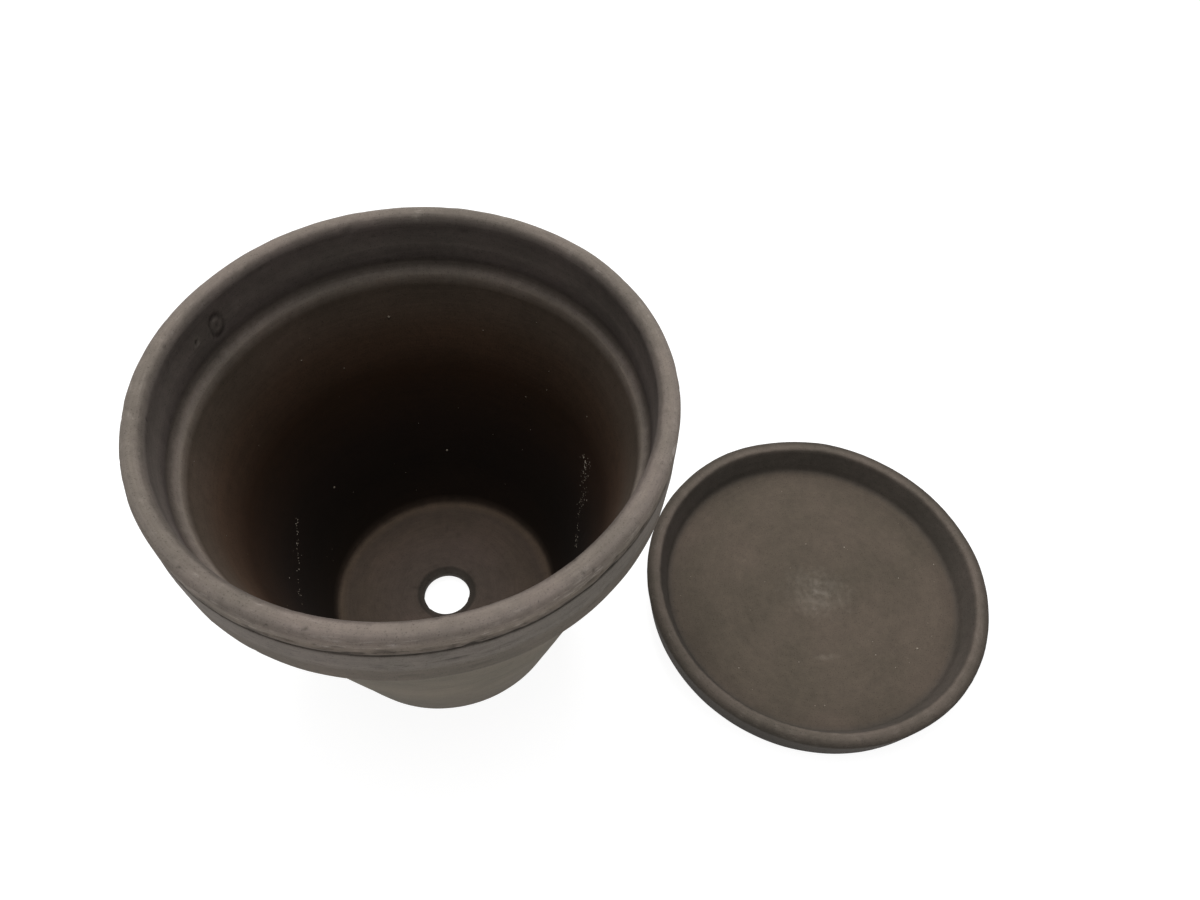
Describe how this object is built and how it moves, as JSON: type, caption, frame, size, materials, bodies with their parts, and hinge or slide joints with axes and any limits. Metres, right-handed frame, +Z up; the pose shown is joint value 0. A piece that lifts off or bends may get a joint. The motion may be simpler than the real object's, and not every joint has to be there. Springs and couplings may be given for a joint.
{
  "type": "flower pot with saucer",
  "caption": "Round tapered clay flower pot with a thick collar, rounded lip and drain hole, and its flat drip saucer standing beside it.",
  "frame": {"origin": "centre of the pot's foot, in the ground plane that both pieces stand on", "axes": "+Z up along the pot's axis, +X towards the side where the saucer stands"},
  "size_m": [0.37, 0.203, 0.1704],
  "materials": {
    "pot_clay": "unglazed dark grey-brown clay, dry matte, turned",
    "saucer_clay": "unglazed dark grey-brown clay, dry matte, turned"
  },
  "bodies": {
    "saucer": {"saucer": "saucer_clay"},
    "pot": {"pot": "pot_clay"}
  },
  "joints": [
    {"name": "pot_lift", "type": "slide", "parent": "saucer", "child": "pot", "axis": [0, 0, 1], "range_m": [0, 0.1]}
  ]
}
